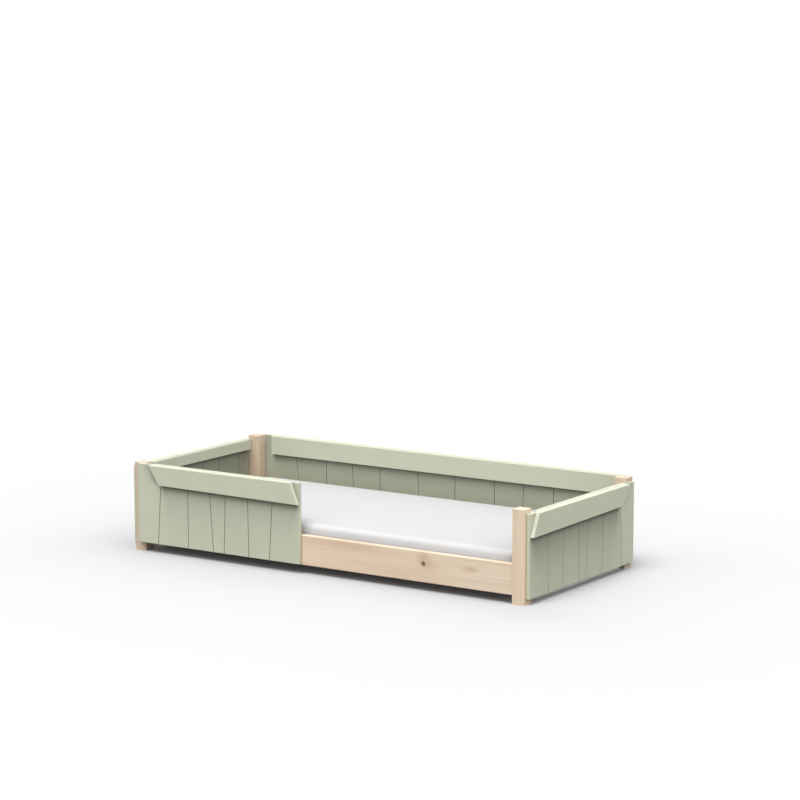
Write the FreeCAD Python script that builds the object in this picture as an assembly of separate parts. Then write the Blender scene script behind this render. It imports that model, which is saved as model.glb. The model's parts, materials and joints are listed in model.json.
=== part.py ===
import FreeCAD, Part
import math
import os

# Toddler floor bed: four timber posts, rails, a slatted base and a mattress, closed in by
# painted panels with slanted grooves and cap boards. Millimetres, +Z up.
# Origin: on the floor, in the middle of the bed's outline. +X runs along the bed towards the
# end at the open half of the front, and the front, with the way in, faces -Y.

V = FreeCAD.Vector

# ---------------------------------------------------------------- driving sizes
# Mattress
MATTRESS_LENGTH = 1990.0
MATTRESS_WIDTH = 890.0
MATTRESS_HEIGHT = 130.0
MATTRESS_CROWN = 4.0
MATTRESS_EDGE_RADIUS = 24.0
MATTRESS_CORNER_RADIUS = 70.0
MATTRESS_DRAW_IN = 3.0
MATTRESS_END_GAP = 10.0
MATTRESS_SIDE_GAP = 4.0
SOFT_CLEARANCE = 0.3

# Posts and rails
POST_SIDE = 60.0
POST_HEIGHT = 420.0
POST_EDGE_RADIUS = 2.0
POST_TOP_CHAMFER = 1.0
RAIL_HEIGHT = 139.0
RAIL_THICKNESS = 28.0
RAIL_FLOOR_GAP = 40.0
RAIL_EDGE_RADIUS = 4.0

# Slatted base
CLEAT_HEIGHT = 30.0
CLEAT_DEPTH = 28.0
CLEAT_END_GAP = 4.0
CLEAT_EDGE_CHAMFER = 2.0
SLAT_COUNT = 15
SLAT_WIDTH = 80.0
SLAT_THICKNESS = 18.0
SLAT_TOP_HEIGHT = 100.0
SLAT_END_GAP = 3.0
SLAT_POST_GAP = 6.0
SLAT_EDGE_CHAMFER = 2.0
TAPE_WIDTH = 25.0
TAPE_THICKNESS = 1.2
TAPE_INSET = 190.0

# Panels: the long ones at the back and front, and the ones at the two ends
PANEL_THICKNESS = 20.0
PANEL_HEIGHT = 374.0
PANEL_EDGE_CHAMFER = 1.5
LONG_PANEL_TOP = 419.0
END_PANEL_TOP = 401.0
FRONT_PANEL_INSET = 35.0
BACK_PANEL_INSET = 9.0
END_PANEL_INSET = 16.0
FRONT_PANEL_LENGTH = 925.0
GROOVE_WIDTH = 4.0
GROOVE_DEPTH = 2.6

# Cap boards
CAP_THICKNESS = 18.0
CAP_EDGE_CHAMFER = 2.0
LONG_CAP_HEIGHT = 91.0
LONG_CAP_TAPER = 8.0
LONG_CAP_START = 73.0
LONG_CAP_START_SLANT = 61.0
FRONT_CAP_END = 37.0
BACK_CAP_END = 60.0
LONG_CAP_END_SLANT = 40.0
END_CAP_HEIGHT = 103.0
END_CAP_TAPER = 11.0
RIGHT_CAP_START = 48.0
LEFT_CAP_START = 75.0
END_CAP_START_SLANT = 49.0
END_CAP_END = 69.0
END_CAP_END_SLANT = 62.0
INNER_CAP_POST_GAP = 47.0
LONG_INNER_CAP_HEIGHT = 91.0
END_INNER_CAP_HEIGHT = 51.0
FRONT_INNER_CAP_END_GAP = 78.0
INNER_CAP_FIT_GAP = 0.5

# Grooves: how far each one is along its panel at the top edge and at the bottom edge. A panel
# has those that fit on its length.
GROOVE_END_DISTANCE = 60.0
FRONT_GROOVES = ((139, 116), (291, 293), (411, 439), (513, 500), (635, 641), (781, 758))
BACK_GROOVES = (
    (224, 276), (420, 420), (564, 595), (737, 733), (947, 970), (1169, 1158),
    (1383, 1387), (1552, 1531), (1710, 1703), (1864, 1877), (1988, 1976),
)
END_GROOVES = ((146, 161), (288, 286), (416, 424), (512, 486), (632, 634), (788, 814))

# Fixings
DOWEL_RADIUS = 5.0
DOWEL_LENGTH = 58.0
DOWEL_CLEARANCE = 0.1
DOWEL_END_ROOM = 1.0
DOWEL_EDGE_DISTANCE = 35.0
PANEL_DOWEL_RADIUS = 4.0
PANEL_DOWEL_IN_PANEL = 12.0
PANEL_DOWEL_IN_POST = 22.0
PANEL_DOWEL_FROM_TOP = 69.0
PANEL_DOWEL_PITCH = 120.0
SCREW_RADIUS = 2.0
SCREW_HEAD_RADIUS = 4.0
SCREW_HEAD_HEIGHT = 2.6
SCREW_CLEARANCE = 0.05
SCREW_SIDES = 6
DOWEL_SIDES = 8
DOWEL_CHAMFER = 1.0
CLEAT_SCREW_BITE = 17.0
CLEAT_SCREW_COUNT = 5
CLEAT_SCREW_END = 90.0
PANEL_SCREW_BITE = 12.0
PANEL_SCREW_ABOVE_SLATS = 34.0
CAP_SCREW_BITE = 10.0
CAP_SCREW_END = 130.0
SCREW_SPACING = 400.0
SLAT_SCREW_BITE = 17.0
PLATE_SCREW_LENGTH = 28.0

# Hook plates in the rail ends and receiver plates in the posts
PLATE_THICKNESS = 2.5
PLATE_WIDTH = 18.0
PLATE_EDGE_DISTANCE = 10.5
PLATE_FIT = 0.2
HOOK_THICKNESS = 3.0
HOOK_NECK = 12.0
HOOK_DROP = 10.0
HOOK_DEPTH = 5.0
HOOK_PLAY = 0.3
HOOK_SCREW_GAP = 9.0
HOOK_CORNER = 2.0
SLOT_SIDE_PLAY = 0.5
SLOT_HEAD_ROOM = 2.0
PLATE_SCREW_FROM_END = 7.0

# ---------------------------------------------------------------- sizes that follow
FRAME_LENGTH = MATTRESS_LENGTH + 2 * MATTRESS_END_GAP + 2 * POST_SIDE
FRAME_WIDTH = MATTRESS_WIDTH + 2 * MATTRESS_SIDE_GAP + 2 * RAIL_THICKNESS
RAIL_MIDDLE = RAIL_FLOOR_GAP + RAIL_HEIGHT / 2
RAIL_TOP = RAIL_FLOOR_GAP + RAIL_HEIGHT
SLAT_BOTTOM = SLAT_TOP_HEIGHT - SLAT_THICKNESS
CLEAT_BOTTOM = SLAT_BOTTOM - CLEAT_HEIGHT
MATTRESS_BOTTOM = SLAT_TOP_HEIGHT + SOFT_CLEARANCE
CLEAT_SCREW_LENGTH = CLEAT_DEPTH + CLEAT_SCREW_BITE
PANEL_SCREW_LENGTH = RAIL_THICKNESS + PANEL_SCREW_BITE
CAP_SCREW_LENGTH = PANEL_THICKNESS + CAP_SCREW_BITE
SLAT_SCREW_LENGTH = SLAT_THICKNESS + SLAT_SCREW_BITE
PLATE_HEIGHT = RAIL_HEIGHT - 2 * PLATE_EDGE_DISTANCE
SLOT_HEIGHT = HOOK_NECK + HOOK_DROP + SLOT_HEAD_ROOM


class Side:
    """One side of the bed. u runs along it from a corner of the frame, w is the distance out
    from the frame's outer face, and v is the height above the floor."""

    def __init__(self, name, length, origin, along, outwards):
        self.name = name
        self.length = length
        self.origin = origin
        self.along = along
        self.outwards = outwards

    def point(self, u, w, v):
        return self.origin + self.along * u + self.outwards * w + V(0, 0, v)

    def prism(self, outline, w0, w1):
        """A board whose outline is a list of (u, v) corners, from depth w0 to depth w1."""
        corners = [self.point(u, w0, v) for u, v in outline]
        face = Part.Face(Part.makePolygon(corners + corners[:1]))
        return solid(face.extrude(self.outwards * (w1 - w0)))

    def block(self, u0, u1, w0, w1, v0, v1):
        return self.prism(((u0, v0), (u1, v0), (u1, v1), (u0, v1)), w0, w1)


FRONT = Side("front", FRAME_LENGTH, V(-FRAME_LENGTH / 2, -FRAME_WIDTH / 2, 0), V(1, 0, 0), V(0, -1, 0))
BACK = Side("back", FRAME_LENGTH, V(-FRAME_LENGTH / 2, FRAME_WIDTH / 2, 0), V(1, 0, 0), V(0, 1, 0))
LEFT = Side("left", FRAME_WIDTH, V(-FRAME_LENGTH / 2, -FRAME_WIDTH / 2, 0), V(0, 1, 0), V(-1, 0, 0))
RIGHT = Side("right", FRAME_WIDTH, V(FRAME_LENGTH / 2, -FRAME_WIDTH / 2, 0), V(0, 1, 0), V(1, 0, 0))
LONG_SIDES = (FRONT, BACK)
END_SIDES = (LEFT, RIGHT)


def solid(shape):
    """The shape as one solid whose faces point outwards."""
    body = shape if shape.ShapeType == "Solid" else shape.Solids[0]
    if body.Volume < 0:
        body.reverse()
    return body


def eased(board, chamfer):
    """A board with a small chamfer on every edge."""
    return solid(board.makeChamfer(chamfer, board.Edges))


def edges_along(body, direction):
    """The body's straight edges that run in a direction."""
    return [
        edge for edge in body.Edges
        if abs((edge.lastVertex().Point - edge.firstVertex().Point).normalize().dot(direction)) > 0.999
    ]


def rod(profile, sides, start, direction):
    """A pin with flat sides, which keeps the many hidden fixings light. Its profile is a list of
    (radius, distance along the pin)."""
    angles = [2 * math.pi * i / sides for i in range(sides)]
    rings = [[V(r * math.cos(a), r * math.sin(a), z) for a in angles] for r, z in profile]
    faces = [Part.Face(Part.makePolygon(ring + ring[:1])) for ring in (rings[0], rings[-1])]
    for low, high in zip(rings, rings[1:]):
        for i in range(sides):
            corners = [low[i - 1], low[i], high[i], high[i - 1], low[i - 1]]
            faces.append(Part.Face(Part.makePolygon(corners)))
    body = Part.Solid(Part.Shell(faces))
    body.Placement = FreeCAD.Placement(start, FreeCAD.Rotation(V(0, 0, 1), direction))
    return solid(body)


def spread(first, last, count):
    """Evenly spaced places from first to last."""
    step = (last - first) / (count - 1)
    return [first + i * step for i in range(count)]


def save(shape, name):
    shape.exportStep(os.path.join("parts", name + ".step"))


# ---------------------------------------------------------------- screws and dowels
def screw(head, direction, length, clearance=0.0):
    """A countersunk wood screw whose flat head lies at the point `head`. With a clearance it is
    the hole that the screw goes in."""
    shank = SCREW_RADIUS + clearance
    profile = (
        (SCREW_HEAD_RADIUS + clearance, 0),
        (shank, SCREW_HEAD_HEIGHT),
        (shank, length + clearance),
    )
    return rod(profile, SCREW_SIDES, head, direction)


def screws(heads, direction, length):
    return [screw(head, direction, length) for head in heads]


def screw_holes(heads, direction, length):
    return [screw(head, direction, length, SCREW_CLEARANCE) for head in heads]


def dowel(start, direction, radius, length):
    """A dowel with chamfered ends."""
    profile = (
        (radius - DOWEL_CHAMFER, 0),
        (radius, DOWEL_CHAMFER),
        (radius, length - DOWEL_CHAMFER),
        (radius - DOWEL_CHAMFER, length),
    )
    return rod(profile, DOWEL_SIDES, start, direction)


def dowel_hole(start, direction, radius, length):
    wall = radius + DOWEL_CLEARANCE
    profile = ((wall, -DOWEL_END_ROOM), (wall, length + DOWEL_END_ROOM))
    return rod(profile, DOWEL_SIDES, start, direction)


# ---------------------------------------------------------------- places of the fixings
def end_rail_dowel_places(side):
    """Start and direction of the dowels at both ends of an end rail."""
    places = []
    for v in (RAIL_FLOOR_GAP + DOWEL_EDGE_DISTANCE, RAIL_TOP - DOWEL_EDGE_DISTANCE):
        for u in (POST_SIDE, side.length - POST_SIDE):
            start = side.point(u - DOWEL_LENGTH / 2, -RAIL_THICKNESS / 2, v)
            places.append((start, side.along))
    return places


def panel_span(side):
    """Where a side's panel starts and ends along it."""
    if side is FRONT:
        return FRONT_PANEL_INSET, FRONT_PANEL_INSET + FRONT_PANEL_LENGTH
    inset = BACK_PANEL_INSET if side is BACK else END_PANEL_INSET
    return inset, side.length - inset


def panel_top(side):
    return LONG_PANEL_TOP if side in LONG_SIDES else END_PANEL_TOP


def panel_dowel_places(side):
    """Start and direction of the dowels that locate a panel on its posts."""
    start, end = panel_span(side)
    centres = [(start + POST_SIDE) / 2]
    if side is not FRONT:
        centres.append(side.length - centres[0])
    upper = min(panel_top(side), POST_HEIGHT) - PANEL_DOWEL_FROM_TOP
    return [
        (side.point(u, -PANEL_DOWEL_IN_POST, v), side.outwards)
        for u in centres for v in (upper - PANEL_DOWEL_PITCH, upper)
    ]


def groove_list(side):
    """The grooves of a side's panel that fit on its length."""
    start, end = panel_span(side)
    places = {"front": FRONT_GROOVES, "back": BACK_GROOVES}.get(side.name, END_GROOVES)
    return [pair for pair in places if max(pair) < end - start - GROOVE_END_DISTANCE]


def groove_place(side, places, height):
    """Where a groove is along its side, at a height above the floor."""
    top_place, bottom_place = places
    share = (panel_top(side) - height) / PANEL_HEIGHT
    return panel_span(side)[0] + top_place + (bottom_place - top_place) * share


def between_grooves(side, first, last, height):
    """Places for screws from first to last, each in the middle of a board between grooves."""
    lines = [groove_place(side, places, height) for places in groove_list(side)]
    middles = [(a + b) / 2 for a, b in zip(lines, lines[1:])]
    count = max(2, 1 + round((last - first) / SCREW_SPACING))
    chosen = {min(middles, key=lambda u: abs(u - aim)) for aim in spread(first, last, count)}
    return sorted(chosen)


def panel_screw_heads(side):
    """Heads of the screws through a rail's inner face into the panel."""
    start, end = panel_span(side)
    height = SLAT_TOP_HEIGHT + PANEL_SCREW_ABOVE_SLATS
    places = between_grooves(side, start, end, height)
    return [side.point(u, -RAIL_THICKNESS, height) for u in places]


def inner_cap_span(side):
    """Where the cap board on a panel's inner face starts and ends."""
    start = POST_SIDE + INNER_CAP_POST_GAP
    if side is FRONT:
        return start, panel_span(side)[1] - FRONT_INNER_CAP_END_GAP
    return start, side.length - POST_SIDE - INNER_CAP_FIT_GAP


def inner_cap_height(side):
    return LONG_INNER_CAP_HEIGHT if side in LONG_SIDES else END_INNER_CAP_HEIGHT


def cap_screw_heads(side):
    """Heads of the screws through a panel's inner face into the outer cap."""
    start, end = inner_cap_span(side)
    height = panel_top(side) - inner_cap_height(side) / 2
    places = between_grooves(side, start + CAP_SCREW_END, end - CAP_SCREW_END, height)
    return [side.point(u, 0, height) for u in places]


def cleat_screw_heads(side):
    """Heads of the screws through a cleat's inner face into its rail."""
    depth = -RAIL_THICKNESS - CLEAT_DEPTH
    first = POST_SIDE + CLEAT_SCREW_END
    last = side.length - first
    height = CLEAT_BOTTOM + CLEAT_HEIGHT / 2
    return [side.point(u, depth, height) for u in spread(first, last, CLEAT_SCREW_COUNT)]


def slat_screw_heads(place, side):
    """Head of the screw through one end of a slat into the cleat at that side."""
    u = place + FRAME_LENGTH / 2
    return [side.point(u, -RAIL_THICKNESS - CLEAT_DEPTH / 2, SLAT_TOP_HEIGHT)]


def end_slat_screw_heads(side):
    """The end slats are screwed down. The tapes hold the others in between."""
    places = slat_places()
    return slat_screw_heads(places[0], side) + slat_screw_heads(places[-1], side)


# ---------------------------------------------------------------- hook joint of the long rails
class HookJoint:
    """The joint between a long rail's end and its post. s is the distance from the joint's face
    into the rail, so it is negative in the post."""

    def __init__(self, side, at_start):
        self.side = side
        self.face = POST_SIDE if at_start else side.length - POST_SIDE
        self.turn = 1 if at_start else -1
        self.middle = -RAIL_THICKNESS / 2
        reach = PLATE_HEIGHT / 2 - PLATE_SCREW_FROM_END
        self.screw_heights = [RAIL_MIDDLE - reach, RAIL_MIDDLE + reach]
        self.neck_bottoms = [
            self.screw_heights[0] + HOOK_SCREW_GAP + HOOK_DROP + SLOT_HEAD_ROOM,
            self.screw_heights[1] - HOOK_SCREW_GAP - SLOT_HEIGHT,
        ]

    def u(self, s):
        return self.face + self.turn * s

    def direction(self, sign):
        return self.side.along * (self.turn * sign)

    def block(self, s0, s1, half_width, v0, v1):
        low, high = sorted((self.u(s0), self.u(s1)))
        return self.side.block(low, high, self.middle - half_width, self.middle + half_width, v0, v1)

    def plate(self, s0, s1, fit=0.0):
        """A plate, or with a fit the recess that it lies in."""
        half = PLATE_HEIGHT / 2 + fit
        return self.block(s0, s1, PLATE_WIDTH / 2 + fit, RAIL_MIDDLE - half, RAIL_MIDDLE + half)

    def hook(self, bottom):
        """A hook that goes through the receiver's slot and drops behind it."""
        inner = -PLATE_THICKNESS - HOOK_PLAY
        outer = inner - HOOK_DEPTH
        top = bottom + HOOK_NECK
        tip = bottom - HOOK_DROP
        outline = (
            (PLATE_THICKNESS / 2, bottom), (PLATE_THICKNESS / 2, top),
            (outer + HOOK_CORNER, top), (outer, top - HOOK_CORNER),
            (outer, tip + HOOK_CORNER), (outer + HOOK_CORNER, tip),
            (inner - HOOK_CORNER, tip), (inner, tip + HOOK_CORNER), (inner, bottom),
        )
        points = [(self.u(s), v) for s, v in outline]
        half = HOOK_THICKNESS / 2
        return self.side.prism(points, self.middle - half, self.middle + half)

    def slot(self, bottom):
        """The receiver's slot, tall enough to let the hook in before it drops."""
        half = HOOK_THICKNESS / 2 + SLOT_SIDE_PLAY
        return self.block(-PLATE_THICKNESS - 1, 1, half, bottom, bottom + SLOT_HEIGHT)

    def pocket(self):
        """The room in the post behind the receiver's slots."""
        half = HOOK_THICKNESS / 2 + 2 * SLOT_SIDE_PLAY
        depth = PLATE_THICKNESS + HOOK_DEPTH + 2 * HOOK_PLAY
        low = self.neck_bottoms[0] - HOOK_DROP - SLOT_HEAD_ROOM
        high = self.neck_bottoms[1] + SLOT_HEIGHT
        return self.block(-depth - 1, 0, half, low, high)

    def heads(self):
        """Heads of the screws, which lie back to back in the joint's face."""
        return [self.side.point(self.face, self.middle, v) for v in self.screw_heights]

    def hook_plate(self):
        body = self.plate(0, PLATE_THICKNESS)
        body = body.fuse([self.hook(bottom) for bottom in self.neck_bottoms])
        return solid(body.removeSplitter().cut(self.rail_screw_holes()))

    def receiver_plate(self):
        body = self.plate(-PLATE_THICKNESS, 0)
        body = body.cut([self.slot(bottom) for bottom in self.neck_bottoms])
        return solid(body.cut(self.post_screw_holes()))

    def rail_screw_holes(self):
        return screw_holes(self.heads(), self.direction(1), PLATE_SCREW_LENGTH)

    def post_screw_holes(self):
        return screw_holes(self.heads(), self.direction(-1), PLATE_SCREW_LENGTH)

    def rail_cuts(self):
        return [self.plate(-1, PLATE_THICKNESS, PLATE_FIT)] + self.rail_screw_holes()

    def post_cuts(self):
        return [self.plate(-PLATE_THICKNESS, 1, PLATE_FIT), self.pocket()] + self.post_screw_holes()

    def all_screws(self):
        return (screws(self.heads(), self.direction(1), PLATE_SCREW_LENGTH)
                + screws(self.heads(), self.direction(-1), PLATE_SCREW_LENGTH))


HOOK_JOINTS = [HookJoint(side, at_start) for side in LONG_SIDES for at_start in (True, False)]


# ---------------------------------------------------------------- timber frame
def post(long_side, end_side, at_start):
    """The post where a long side meets an end."""
    u0 = 0 if at_start else long_side.length - POST_SIDE
    body = long_side.block(u0, u0 + POST_SIDE, -POST_SIDE, 0, 0, POST_HEIGHT)
    body = body.makeFillet(POST_EDGE_RADIUS, edges_along(body, V(0, 0, 1)))
    top_edges = [edge for edge in body.Edges if edge.BoundBox.ZMin > POST_HEIGHT - POST_TOP_CHAMFER]
    body = body.makeChamfer(POST_TOP_CHAMFER, top_edges)
    cuts = []
    for joint in HOOK_JOINTS:
        if joint.side is long_side and (joint.turn == 1) == at_start:
            cuts += joint.post_cuts()
    for start, direction in end_rail_dowel_places(end_side):
        cuts.append(dowel_hole(start, direction, DOWEL_RADIUS, DOWEL_LENGTH))
    for side in (long_side, end_side):
        for start, direction in panel_dowel_places(side):
            cuts.append(dowel_hole(start, direction, PANEL_DOWEL_RADIUS,
                                   PANEL_DOWEL_IN_POST + PANEL_DOWEL_IN_PANEL))
    near = [cut for cut in cuts if cut.BoundBox.intersect(body.BoundBox)]
    return solid(body.cut(near))


def rail(side):
    """A rail between two posts, with its long edges eased."""
    u0, u1 = POST_SIDE, side.length - POST_SIDE
    body = side.block(u0, u1, -RAIL_THICKNESS, 0, RAIL_FLOOR_GAP, RAIL_TOP)
    body = body.makeFillet(RAIL_EDGE_RADIUS, edges_along(body, side.along))
    cuts = screw_holes(panel_screw_heads(side), side.outwards, PANEL_SCREW_LENGTH)
    if side in LONG_SIDES:
        cuts += screw_holes(cleat_screw_heads(side), side.outwards, CLEAT_SCREW_LENGTH)
        for joint in HOOK_JOINTS:
            if joint.side is side:
                cuts += joint.rail_cuts()
    else:
        for start, direction in end_rail_dowel_places(side):
            cuts.append(dowel_hole(start, direction, DOWEL_RADIUS, DOWEL_LENGTH))
    return solid(body.cut(cuts))


def cleat(side):
    """The batten inside a long rail that the slats lie on."""
    u0 = POST_SIDE + CLEAT_END_GAP
    w0 = -RAIL_THICKNESS - CLEAT_DEPTH
    body = side.block(u0, side.length - u0, w0, -RAIL_THICKNESS, CLEAT_BOTTOM, SLAT_BOTTOM)
    lower_edges = [edge for edge in edges_along(body, side.along)
                   if edge.BoundBox.ZMax < SLAT_BOTTOM - CLEAT_HEIGHT / 2]
    body = body.makeChamfer(CLEAT_EDGE_CHAMFER, lower_edges)
    cuts = screw_holes(cleat_screw_heads(side), side.outwards, CLEAT_SCREW_LENGTH)
    cuts += screw_holes(end_slat_screw_heads(side), V(0, 0, -1), SLAT_SCREW_LENGTH)
    return solid(body.cut(cuts))


def slat(place, screwed):
    """One slat across the bed, its middle at the given place along it."""
    depth = FRAME_WIDTH / 2 - RAIL_THICKNESS - SLAT_END_GAP
    body = Part.makeBox(SLAT_WIDTH, 2 * depth, SLAT_THICKNESS,
                        V(place - SLAT_WIDTH / 2, -depth, SLAT_BOTTOM))
    body = body.makeChamfer(SLAT_EDGE_CHAMFER, edges_along(body, V(0, 1, 0)))
    if screwed:
        heads = slat_screw_heads(place, FRONT) + slat_screw_heads(place, BACK)
        body = body.cut(screw_holes(heads, V(0, 0, -1), SLAT_SCREW_LENGTH))
    return solid(body)


def slat_places():
    last = FRAME_LENGTH / 2 - POST_SIDE - SLAT_POST_GAP - SLAT_WIDTH / 2
    return spread(-last, last, SLAT_COUNT)


def tape(sign):
    """A webbing tape under the slats that keeps them apart."""
    ends = slat_places()
    length = ends[-1] - ends[0] + SLAT_WIDTH
    y = sign * (FRAME_WIDTH / 2 - TAPE_INSET) - TAPE_WIDTH / 2
    return Part.makeBox(length, TAPE_WIDTH, TAPE_THICKNESS,
                        V(-length / 2, y, SLAT_BOTTOM - TAPE_THICKNESS))


# ---------------------------------------------------------------- panels and caps
def groove(side, places, outer_face):
    """A V-groove that runs down one face of a panel, slanted from its top to its bottom place."""
    top_place, bottom_place = places
    bottom = panel_top(side) - PANEL_HEIGHT
    lean = (top_place - bottom_place) / PANEL_HEIGHT
    over = PANEL_EDGE_CHAMFER * 2
    u = groove_place(side, places, bottom - over)
    face_w = PANEL_THICKNESS if outer_face else 0.0
    out = 1 if outer_face else -1
    half = GROOVE_WIDTH / 2
    mouth = 1.0
    spare = half * mouth / GROOVE_DEPTH
    corners = [
        side.point(u - half - spare, face_w + out * mouth, bottom - over),
        side.point(u + half + spare, face_w + out * mouth, bottom - over),
        side.point(u, face_w - out * GROOVE_DEPTH, bottom - over),
    ]
    section = Part.Face(Part.makePolygon(corners + corners[:1]))
    rise = PANEL_HEIGHT + 2 * over
    return solid(section.extrude(side.along * (lean * rise) + V(0, 0, rise)))


def panel(side):
    """A painted panel with slanted grooves down both faces."""
    start, end = panel_span(side)
    top = panel_top(side)
    board = side.block(start, end, 0, PANEL_THICKNESS, top - PANEL_HEIGHT, top)
    board = eased(board, PANEL_EDGE_CHAMFER)
    cuts = [groove(side, places, face) for places in groove_list(side) for face in (True, False)]
    cuts += screw_holes(panel_screw_heads(side), side.outwards, PANEL_SCREW_LENGTH)
    cuts += screw_holes(cap_screw_heads(side), side.outwards, CAP_SCREW_LENGTH)
    for place, direction in panel_dowel_places(side):
        cuts.append(dowel_hole(place, direction, PANEL_DOWEL_RADIUS,
                               PANEL_DOWEL_IN_POST + PANEL_DOWEL_IN_PANEL))
    return solid(board.cut(cuts))


def outer_cap(side):
    """The board along the top of a panel's outer face: slanted ends, and a lower edge that
    runs out of line with the top."""
    start, end = panel_span(side)
    top = panel_top(side)
    if side in LONG_SIDES:
        u0 = start + LONG_CAP_START
        u1 = end - (FRONT_CAP_END if side is FRONT else BACK_CAP_END)
        low_start = top - LONG_CAP_HEIGHT
        low_end = low_start - LONG_CAP_TAPER
        outline = ((u0, top), (u0 + LONG_CAP_START_SLANT, low_start),
                   (u1 + LONG_CAP_END_SLANT, low_end), (u1, top))
    else:
        u0 = start + (LEFT_CAP_START if side is LEFT else RIGHT_CAP_START)
        u1 = end - END_CAP_END
        low_start = top - END_CAP_HEIGHT
        low_end = low_start + END_CAP_TAPER
        outline = ((u0, top), (u0 - END_CAP_START_SLANT, low_start),
                   (u1 - END_CAP_END_SLANT, low_end), (u1, top))
    board = side.prism(outline, PANEL_THICKNESS, PANEL_THICKNESS + CAP_THICKNESS)
    board = eased(board, CAP_EDGE_CHAMFER)
    return solid(board.cut(screw_holes(cap_screw_heads(side), side.outwards, CAP_SCREW_LENGTH)))


def inner_cap(side):
    """The board along the top of a panel's inner face."""
    u0, u1 = inner_cap_span(side)
    top = panel_top(side)
    board = side.block(u0, u1, -CAP_THICKNESS, 0, top - inner_cap_height(side), top)
    return eased(board, CAP_EDGE_CHAMFER)


# ---------------------------------------------------------------- mattress
def mattress_outline(inset, height):
    """The mattress's outline at one height: sides drawn in between rounded corners."""
    half_length = MATTRESS_LENGTH / 2 - inset
    half_width = MATTRESS_WIDTH / 2 - inset
    radius = max(MATTRESS_CORNER_RADIUS - inset, MATTRESS_CORNER_RADIUS / 4)
    bite = radius * (1 - math.sqrt(0.5))
    edges = []
    for sx, sy in ((1, 1), (-1, 1), (-1, -1), (1, -1)):
        on_end = V(sx * half_length, sy * (half_width - radius), height)
        on_side = V(sx * (half_length - radius), sy * half_width, height)
        middle = V(sx * (half_length - bite), sy * (half_width - bite), height)
        pair = (on_end, on_side) if sx == sy else (on_side, on_end)
        edges.append((pair[0], middle, pair[1]))
    wire = []
    for i, (first, middle, last) in enumerate(edges):
        following = edges[(i + 1) % 4][0]
        waist = (last + following) / 2
        inwards = V(-waist.x, -waist.y, 0).normalize()
        wire.append(Part.Arc(first, middle, last).toShape())
        wire.append(Part.Arc(last, waist + inwards * MATTRESS_DRAW_IN, following).toShape())
    return Part.Wire(wire)


def mattress():
    """A loft through outlines from the flat underside, up round the edges and over the crown."""
    top = MATTRESS_BOTTOM + MATTRESS_HEIGHT
    shoulder = top - MATTRESS_CROWN
    radius = MATTRESS_EDGE_RADIUS
    sections = []
    for degrees in (50, 0):
        angle = math.radians(degrees)
        sections.append((radius * (1 - math.cos(angle)), MATTRESS_BOTTOM + radius * (1 - math.sin(angle))))
    sections.insert(0, (radius, MATTRESS_BOTTOM))
    for degrees in (0, 30, 60):
        angle = math.radians(degrees)
        sections.append((radius * (1 - math.cos(angle)), shoulder - radius * (1 - math.sin(angle))))
    half_width = MATTRESS_WIDTH / 2
    for share in (0.0, 0.3, 0.7):
        inset = radius + share * (half_width - radius)
        rise = MATTRESS_CROWN * (1 - (1 - share) ** 2)
        sections.append((inset, shoulder + rise))
    wires = [mattress_outline(inset, height) for inset, height in sections]
    return solid(Part.makeLoft(wires, True, True))


# ---------------------------------------------------------------- build
def build():
    os.makedirs("parts", exist_ok=True)

    for long_side in LONG_SIDES:
        for end_side, at_start in ((LEFT, True), (RIGHT, False)):
            save(post(long_side, end_side, at_start), "post_%s_%s" % (long_side.name, end_side.name))
        save(cleat(long_side), long_side.name + "_cleat")
        save(Part.Compound(screws(cleat_screw_heads(long_side), long_side.outwards, CLEAT_SCREW_LENGTH)),
             long_side.name + "_cleat_screws")

    for side in LONG_SIDES + END_SIDES:
        save(rail(side), side.name + "_rail")
        save(panel(side), side.name + "_panel")
        save(outer_cap(side), side.name + "_outer_cap")
        save(inner_cap(side), side.name + "_inner_cap")
        save(Part.Compound(screws(panel_screw_heads(side), side.outwards, PANEL_SCREW_LENGTH)),
             side.name + "_panel_screws")

    for number, place in enumerate(slat_places(), 1):
        save(slat(place, number in (1, SLAT_COUNT)), "slat_%02d" % number)
    slat_screws = []
    for side in LONG_SIDES:
        slat_screws += screws(end_slat_screw_heads(side), V(0, 0, -1), SLAT_SCREW_LENGTH)
    save(Part.Compound(slat_screws), "end_slat_screws")
    save(tape(-1), "front_slat_tape")
    save(tape(1), "back_slat_tape")
    save(mattress(), "mattress")

    rail_dowels = []
    for side in END_SIDES:
        for start, direction in end_rail_dowel_places(side):
            rail_dowels.append(dowel(start, direction, DOWEL_RADIUS, DOWEL_LENGTH))
    save(Part.Compound(rail_dowels), "end_rail_dowels")

    panel_dowels = []
    cap_screws = []
    for side in LONG_SIDES + END_SIDES:
        for start, direction in panel_dowel_places(side):
            panel_dowels.append(dowel(start, direction, PANEL_DOWEL_RADIUS,
                                      PANEL_DOWEL_IN_POST + PANEL_DOWEL_IN_PANEL))
        cap_screws += screws(cap_screw_heads(side), side.outwards, CAP_SCREW_LENGTH)
    save(Part.Compound(panel_dowels), "panel_dowels")
    save(Part.Compound(cap_screws), "cap_screws")

    save(Part.Compound([joint.hook_plate() for joint in HOOK_JOINTS]), "rail_hook_plates")
    save(Part.Compound([joint.receiver_plate() for joint in HOOK_JOINTS]), "post_receiver_plates")
    plate_screws = []
    for joint in HOOK_JOINTS:
        plate_screws += joint.all_screws()
    save(Part.Compound(plate_screws), "plate_screws")


build()
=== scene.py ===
"""A toddler floor bed of pale pine and sage-painted boards, on a pale studio floor."""

import json
import logging
import math
from dataclasses import dataclass, field
from enum import Enum
from typing import Any, ClassVar, Optional, Sequence, Union

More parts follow.
